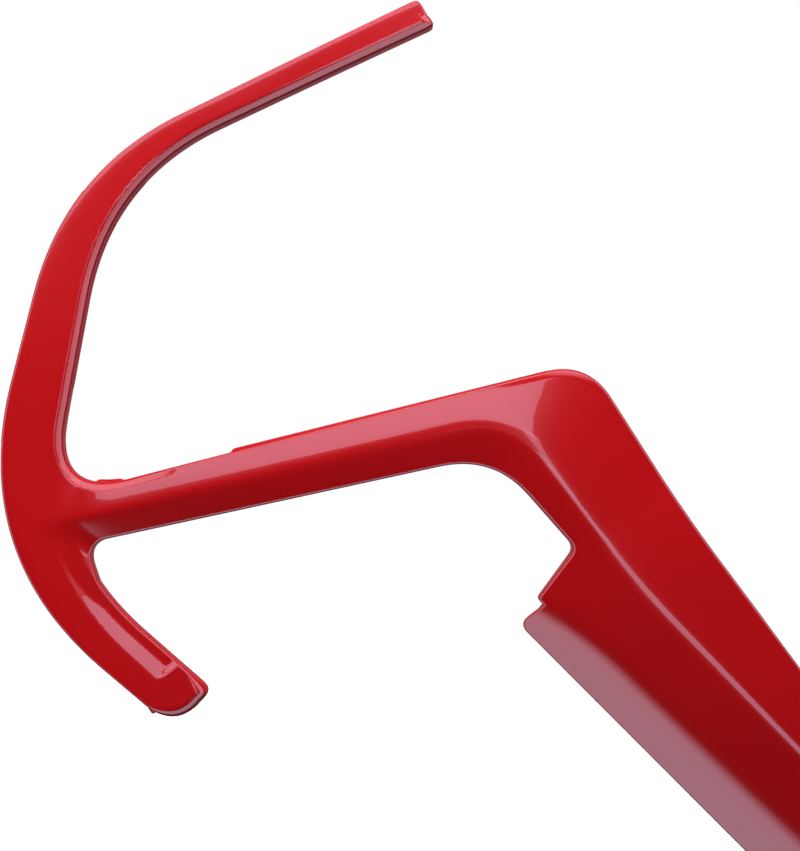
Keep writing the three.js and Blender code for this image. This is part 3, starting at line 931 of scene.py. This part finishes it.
class Nodes:
    """A small helper for building a material from nodes."""

    def __init__(self, name):
        self.material = bpy.data.materials.new(name)
        self.material.use_nodes = True
        self.tree = self.material.node_tree
        self.shader = self.tree.nodes["Principled BSDF"]
        self.coordinates = self.add("ShaderNodeTexCoord").outputs["Object"]

    def add(self, kind, **settings):
        node = self.tree.nodes.new(kind)
        for key, value in settings.items():
            setattr(node, key, value)
        return node

    def feed(self, socket, value):
        if isinstance(value, bpy.types.NodeSocket):
            self.tree.links.new(value, socket)
        else:
            socket.default_value = value

    def noise(self, scale, detail=2.0, roughness=0.5, distortion=0.0):
        node = self.add("ShaderNodeTexNoise")
        self.feed(node.inputs["Vector"], self.coordinates)
        settings = {"Scale": scale, "Detail": detail, "Roughness": roughness, "Distortion": distortion}
        for key, value in settings.items():
            node.inputs[key].default_value = value
        return node.outputs["Fac"]

    def cells(self, scale):
        """The distance from the middle of the nearest cell."""
        node = self.add("ShaderNodeTexVoronoi")
        self.feed(node.inputs["Vector"], self.coordinates)
        node.inputs["Scale"].default_value = scale
        return node.outputs["Distance"]

    def ramp(self, value, low, high, at_low=0.0, at_high=1.0):
        """From one value to another as the input goes from low to high, either way round."""
        node = self.add("ShaderNodeMapRange", interpolation_type="SMOOTHSTEP")
        self.feed(node.inputs["Value"], value)
        if low > high:
            low, high, at_low, at_high = high, low, at_high, at_low
        for key, number in (("From Min", low), ("From Max", high), ("To Min", at_low), ("To Max", at_high)):
            node.inputs[key].default_value = number
        return node.outputs["Result"]

    def times(self, a, b):
        node = self.add("ShaderNodeMath", operation="MULTIPLY")
        self.feed(node.inputs[0], a)
        self.feed(node.inputs[1], b)
        return node.outputs["Value"]

    def mix(self, share, a, b):
        node = self.add("ShaderNodeMix", data_type="RGBA")
        self.feed(node.inputs["Factor"], share)
        self.feed(node.inputs["A"], a)
        self.feed(node.inputs["B"], b)
        return node.outputs["Result"]

    def bump(self, height, distance, strength):
        node = self.add("ShaderNodeBump")
        self.feed(node.inputs["Height"], height)
        node.inputs["Distance"].default_value = distance
        node.inputs["Strength"].default_value = strength
        return node.outputs["Normal"]

    def set(self, **values):
        for key, value in values.items():
            self.feed(self.shader.inputs[key.replace("_", " ")], value)


def gloss_red():
    """Gloss red lacquer with a faint orange peel and specks of dust in places."""
    nodes = Nodes("gloss_red")
    cloud = nodes.ramp(nodes.noise(scale=18), 0.3, 0.7)
    colour = nodes.mix(cloud, LACQUER, LACQUER_DEEP)
    specks = nodes.ramp(nodes.cells(scale=260), 0.06, 0.03)
    dusty = nodes.ramp(nodes.noise(scale=25), 0.5, 0.62)
    dust = nodes.times(nodes.times(specks, dusty), DUST_COVER)
    peel = nodes.bump(nodes.noise(scale=420, detail=1), distance=0.000012, strength=0.35)
    nodes.set(
        Base_Color=nodes.mix(dust, colour, DUST),
        Roughness=0.2,
        IOR=LACQUER_IOR,
        Specular_IOR_Level=0.5,
        Coat_Weight=1.0,
        Coat_Roughness=nodes.ramp(nodes.noise(scale=60), 0.3, 0.8, 0.012, 0.035),
        Coat_IOR=LACQUER_IOR,
        Coat_Normal=peel,
        Normal=peel,
    )
    return nodes.material


def moulded_back():
    """The unpainted back: red plastic straight from the tool, with a fine matt grain."""
    nodes = Nodes("moulded_back")
    cloud = nodes.ramp(nodes.noise(scale=30, detail=3), 0.35, 0.65)
    nodes.set(
        Base_Color=nodes.mix(cloud, BARE_PLASTIC, BARE_PLASTIC_DEEP),
        Roughness=nodes.ramp(nodes.noise(scale=90), 0.3, 0.7, 0.38, 0.52),
        Normal=nodes.bump(nodes.noise(scale=1500), distance=0.00004, strength=0.5),
    )
    return nodes.material


def foam():
    """Charcoal closed-cell foam, pitted by its cells, with its colour darkened in each pit as painted
    shade.
    """
    nodes = Nodes("foam_tape")
    # painted shade: the colour darkens towards each cell's middle, where the bump below sinks the pit
    depth = nodes.ramp(nodes.cells(scale=2600), 0.1, 0.6)
    nodes.set(
        Base_Color=nodes.mix(depth, CHARCOAL_PIT_SHADE, CHARCOAL),
        Roughness=0.9,
        Normal=nodes.bump(depth, distance=0.00012, strength=0.8),
    )
    return nodes.material


def film():
    """Red release film: partly see-through and waxy, with faint waves."""
    nodes = Nodes("release_film")
    cloud = nodes.ramp(nodes.noise(scale=160, detail=3), 0.3, 0.7)
    waves = nodes.noise(scale=240, detail=1, roughness=0.4, distortion=0.6)
    nodes.set(
        Base_Color=nodes.mix(cloud, FILM_RED, FILM_RED_DEEP),
        Roughness=nodes.ramp(nodes.noise(scale=500), 0.3, 0.7, 0.22, 0.34),
        Transmission_Weight=0.35,
        IOR=1.45,
        Normal=nodes.bump(waves, distance=0.00008, strength=0.5),
    )
    return nodes.material


# ---- Build ----
def build_cover():
    loop = counter_clockwise(evenly(outline(), 0.4))
    face = Face(loop)
    patches = Patches()
    add_front(patches, face, loop)
    rim, rim_level = add_skirt(patches, face, loop)
    hollows = [channel("bow", BOW_CHANNEL), channel("spoke", SPOKE_CHANNEL), flange_hollow()]
    hollows = [counter_clockwise(evenly(hollow, 0.6)) for hollow in hollows]
    add_back(patches, face, rim, rim_level, hollows)
    for rib in RIBS:
        add_rib(patches, *rib)
    cover = new_object("cover_moulding", patches.mesh("cover_moulding"), [gloss_red(), moulded_back()])
    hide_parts("trim_cover")
    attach(cover, "cover")


def build_strips():
    draw = np.random.default_rng(7)
    foam_material, film_material = foam(), film()
    for strip in STRIPS:
        tape = foam_tape(strip, draw, foam_material)
        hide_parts("tape_" + strip["name"])
        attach(tape, "cover")
        liner = liner_film(strip, draw, film_material)
        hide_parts("liner_" + strip["name"])
        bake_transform(liner)


build_cover()
build_strips()


# ---- Camera, light and floor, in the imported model's frame and in metres ----
CAMERA_AT = (-0.0265, -0.305, 0.0059)
LENS = 75.25
SENSOR = 36
AMBIENT = 0.04  # how bright the surroundings are as light on the part
TINT = (0.95, 0.86, 1.1)  # the faint violet of the lights that show in the gloss
NEUTRAL = (1, 1, 1)
# What the part reflects, by how far the reflected ray points to the back of the scene: (-1 to 1, colour).
DARK, WHITE, WARM = (0.02, 0.016, 0.02), (2.2, 1.85, 2.3), (0.3, 0.09, 0.11)
TENT = [(-1, DARK), (-0.7, DARK), (-0.58, WHITE), (-0.08, WHITE), (0.05, WARM), (1, WARM)]
FLOOR_REACH = 0.6
FLOOR_GAP = 0.004
FLOOR_FADE = (0.55, 0.3)  # the floor fades in between these distances from its middle
FLOOR_WHITE = (0.93, 0.93, 0.93, 1)
FLOOR_GLOW = 0.88


def aim(thing, place, target, roll=0.0):
    turn = (Vector(target) - Vector(place)).to_track_quat("-Z", "Y")
    thing.location = place
    thing.rotation_euler = (turn @ Quaternion((0, 0, 1), math.radians(roll))).to_euler()


def add_camera():
    """A camera that looks straight along +Y."""
    data = bpy.data.cameras.new("camera")
    data.sensor_width = SENSOR
    data.lens = LENS
    data.clip_start = 0.01
    camera = bpy.data.objects.new("camera", data)
    bpy.context.scene.collection.objects.link(camera)
    aim(camera, CAMERA_AT, (CAMERA_AT[0], 0, CAMERA_AT[2]))
    bpy.context.scene.camera = camera


def area_light(name, place, size, power, colour, roll=0.0, target=(0, 0, 0), in_gloss=True):
    data = bpy.data.lights.new(name, "AREA")
    data.shape = "RECTANGLE"
    data.size, data.size_y = size
    data.energy = power
    data.color = colour
    light = bpy.data.objects.new(name, data)
    bpy.context.scene.collection.objects.link(light)
    aim(light, place, target, roll)
    light.visible_glossy = in_gloss


def add_tent(tree):
    """The colour that the part reflects in each direction: TENT along the Y axis."""
    direction = tree.nodes.new("ShaderNodeNewGeometry")
    split = tree.nodes.new("ShaderNodeSeparateXYZ")
    tree.links.new(direction.outputs["Incoming"], split.inputs["Vector"])
    spread = tree.nodes.new("ShaderNodeMapRange")
    spread.inputs["From Min"].default_value = 1
    spread.inputs["From Max"].default_value = -1
    tree.links.new(split.outputs["Y"], spread.inputs["Value"])
    tent = tree.nodes.new("ShaderNodeValToRGB")
    tree.links.new(spread.outputs["Result"], tent.inputs["Fac"])
    stops = tent.color_ramp.elements
    for _ in range(len(TENT) - 2):
        stops.new(0.5)
    for stop, (to_back, colour) in zip(stops, TENT):
        stop.position = (to_back + 1) / 2
        stop.color = (*colour, 1)
    return tent.outputs["Color"]


def add_world():
    """White to the camera, a dim even light on the part, and in its reflections the tent."""
    world = bpy.data.worlds.new("studio")
    bpy.context.scene.world = world
    world.use_nodes = True
    tree = world.node_tree
    path = tree.nodes.new("ShaderNodeLightPath")
    colour = add_tent(tree)
    for ray, level in (("Is Diffuse Ray", AMBIENT), ("Is Camera Ray", 1.0)):
        mix = tree.nodes.new("ShaderNodeMix")
        mix.data_type = "RGBA"
        mix.clamp_result = False
        tree.links.new(path.outputs[ray], mix.inputs["Factor"])
        tree.links.new(colour, mix.inputs["A"])
        mix.inputs["B"].default_value = (level, level, level, 1)
        colour = mix.outputs["Result"]
    tree.links.new(colour, tree.nodes["Background"].inputs["Color"])


def add_floor():
    """Pale paper below the part, which fades out into the white and leaves no light or reflection on it."""
    nodes = Nodes("floor_paper")
    spread = nodes.add("ShaderNodeVectorMath", operation="LENGTH")
    nodes.feed(spread.inputs[0], nodes.coordinates)
    nodes.set(
        Base_Color=FLOOR_WHITE,
        Roughness=0.85,
        Normal=nodes.bump(nodes.noise(scale=900, detail=3), distance=0.00005, strength=0.4),
        Emission_Color=(*NEUTRAL, 1),
        Emission_Strength=FLOOR_GLOW,
        Alpha=nodes.ramp(spread.outputs["Value"], *FLOOR_FADE),
    )
    signs = ((-1, -1), (1, -1), (1, 1), (-1, 1))
    mesh = bpy.data.meshes.new("floor")
    mesh.from_pydata([(x * FLOOR_REACH, y * FLOOR_REACH, 0) for x, y in signs], [], [(0, 1, 2, 3)])
    floor = new_object("floor", mesh, [nodes.material])
    floor.location.z = CAD_BOX[0][2] - FLOOR_GAP
    floor.visible_glossy = False
    floor.visible_diffuse = False


add_camera()
add_world()
add_floor()
area_light("softbox", (-0.155, -0.8, 0.35), (0.81, 0.32), 1.8, TINT)
area_light("strip", (0.223, -0.84, -0.24), (0.16, 0.6), 0.65, TINT, roll=40)
area_light("bridge", (0.16, -0.88, 0.09), (0.08, 0.26), 0.13, TINT, roll=-20)
area_light("key", (-0.07, -0.2, 0.3), (0.15, 0.15), 1.76, NEUTRAL, target=(-0.04, 0, 0.04), in_gloss=False)
area_light("back", (0.1, 0.5, 0.35), (0.5, 0.5), 5, NEUTRAL, in_gloss=False)
bpy.context.scene.view_settings.view_transform = "Standard"
